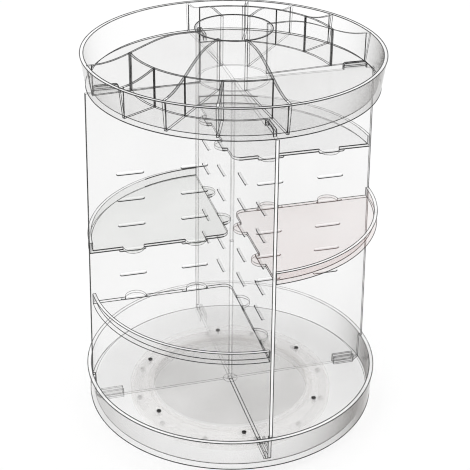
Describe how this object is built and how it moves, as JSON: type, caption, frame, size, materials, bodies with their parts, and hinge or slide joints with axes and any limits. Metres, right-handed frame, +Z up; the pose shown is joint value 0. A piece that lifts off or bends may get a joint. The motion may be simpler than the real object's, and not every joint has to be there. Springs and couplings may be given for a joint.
{
  "type": "rotating storage caddy",
  "caption": "Clear plastic carousel caddy on a ball-bearing turntable, with crossed slotted panels, lift-out quarter shelves, a base dish and a divided top tray with a cup.",
  "frame": {"origin": "centre of the turntable on the surface that the caddy stands on", "axes": "+Z up along the turning axis; +X along the side-to-side panel; +Y along the front-to-back panel, away from the front"},
  "size_m": [0.2432, 0.2432, 0.3298],
  "materials": {
    "clear_plastic": "clear moulded plastic, polished",
    "frosted_plastic": "milky moulded plastic",
    "rubber": "grey anti-slip rubber",
    "steel": "polished steel",
    "dark_steel": "blackened steel"
  },
  "bodies": {
    "foot": {"rubber_feet": "rubber", "foot_ring": "frosted_plastic", "snap_ring": "frosted_plastic"},
    "ball_cage": {"ball_cage": "frosted_plastic", "bearing_balls": "steel"},
    "carousel": {"upper_race": "frosted_plastic", "ring_screws": "dark_steel", "base_dish": "clear_plastic", "panel_channels": "clear_plastic", "side_panel": "clear_plastic", "front_back_panel": "clear_plastic"},
    "back_right_tray": {"back_right_tray": "clear_plastic"},
    "back_left_tray": {"back_left_tray": "clear_plastic"},
    "front_left_tray": {"front_left_tray": "clear_plastic"},
    "front_right_tray": {"front_right_tray": "clear_plastic"},
    "top_tray": {"top_tray_dish": "clear_plastic", "top_cup": "clear_plastic", "top_long_dividers": "clear_plastic", "top_short_dividers": "clear_plastic", "top_arc_walls": "clear_plastic"}
  },
  "joints": [
    {"name": "carousel_spin", "type": "hinge", "parent": "foot", "child": "carousel", "pos_m": [0, 0, 0.00585], "axis": [0, 0, 1], "continuous": true},
    {"name": "cage_spin", "type": "hinge", "parent": "foot", "child": "ball_cage", "pos_m": [0, 0, 0.00585], "axis": [0, 0, 1], "continuous": true},
    {"name": "back_right_tray_slide", "type": "slide", "parent": "carousel", "child": "back_right_tray", "axis": [0.7071, 0.7071, 0], "range_m": [0, 0.12]},
    {"name": "back_left_tray_slide", "type": "slide", "parent": "carousel", "child": "back_left_tray", "axis": [-0.7071, 0.7071, 0], "range_m": [0, 0.12]},
    {"name": "front_left_tray_slide", "type": "slide", "parent": "carousel", "child": "front_left_tray", "axis": [-0.7071, -0.7071, 0], "range_m": [0, 0.12]},
    {"name": "front_right_tray_slide", "type": "slide", "parent": "carousel", "child": "front_right_tray", "axis": [0.7071, -0.7071, 0], "range_m": [0, 0.12]},
    {"name": "top_tray_lift", "type": "slide", "parent": "carousel", "child": "top_tray", "axis": [0, 0, 1], "range_m": [0, 0.06]}
  ],
  "couplings": [
    {"joint": "cage_spin", "follows": "carousel_spin", "ratio": 0.5}
  ]
}
